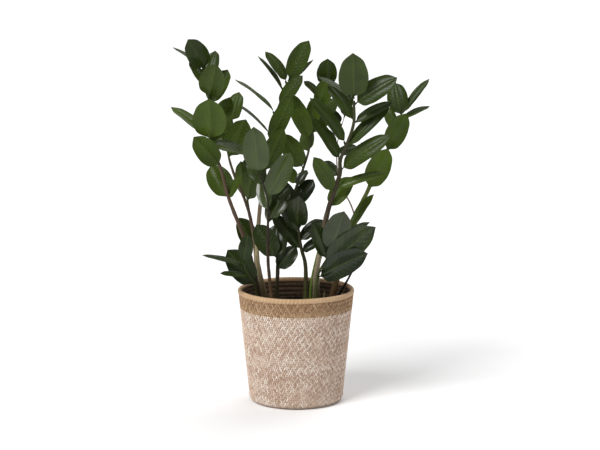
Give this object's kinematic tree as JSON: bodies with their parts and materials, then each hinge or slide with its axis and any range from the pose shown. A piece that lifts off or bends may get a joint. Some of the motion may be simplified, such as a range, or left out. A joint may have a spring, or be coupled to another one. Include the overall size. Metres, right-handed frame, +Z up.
{
  "type": "potted zz plant",
  "caption": "ZZ plant with arching leafy fronds, growing from soil in a nursery pot inside a round sewn jute-braid basket.",
  "frame": {"origin": "the basket's axis at the flat underside it stands on", "axes": "+Z up out of the soil, -Y towards the front of the plant, +X to the right seen from the front"},
  "size_m": [0.4378, 0.2648, 0.6212],
  "materials": {
    "pale_jute": "matte",
    "natural_jute": "matte",
    "pot_plastic": "satin",
    "soil": "matte",
    "rhizome": "matte",
    "stalk": "satin",
    "shoot": "satin",
    "leaf": "gloss"
  },
  "bodies": {
    "root": {"basket_body": "pale_jute", "basket_band": "natural_jute", "nursery_pot": "pot_plastic", "soil": "soil", "rhizome_front_left": "rhizome", "rhizome_back_left": "rhizome", "rhizome_front_right": "rhizome", "rhizome_back_right": "rhizome", "young_shoot_green": "shoot", "young_shoot_pale": "shoot", "stem_far_left": "stalk", "stem_left_middle": "stalk", "stem_left_back": "stalk", "stem_tall_left": "stalk", "stem_front_left": "stalk", "stem_centre_back": "stalk", "stem_main_right": "stalk", "stem_behind_right": "stalk", "stem_far_right": "stalk", "stem_low_right": "stalk", "stem_centre_dark": "stalk", "stem_small_centre": "stalk", "stem_low_left": "stalk", "leaves_far_left": "leaf", "leaves_left_middle": "leaf", "leaves_left_back": "leaf", "leaves_tall_left": "leaf", "leaves_front_left": "leaf", "leaves_centre_back": "leaf", "leaves_main_right": "leaf", "leaves_behind_right": "leaf", "leaves_far_right": "leaf", "leaves_low_right": "leaf", "leaves_centre_dark": "leaf", "leaves_small_centre": "leaf", "leaves_low_left": "leaf"}
  },
  "joints": []
}
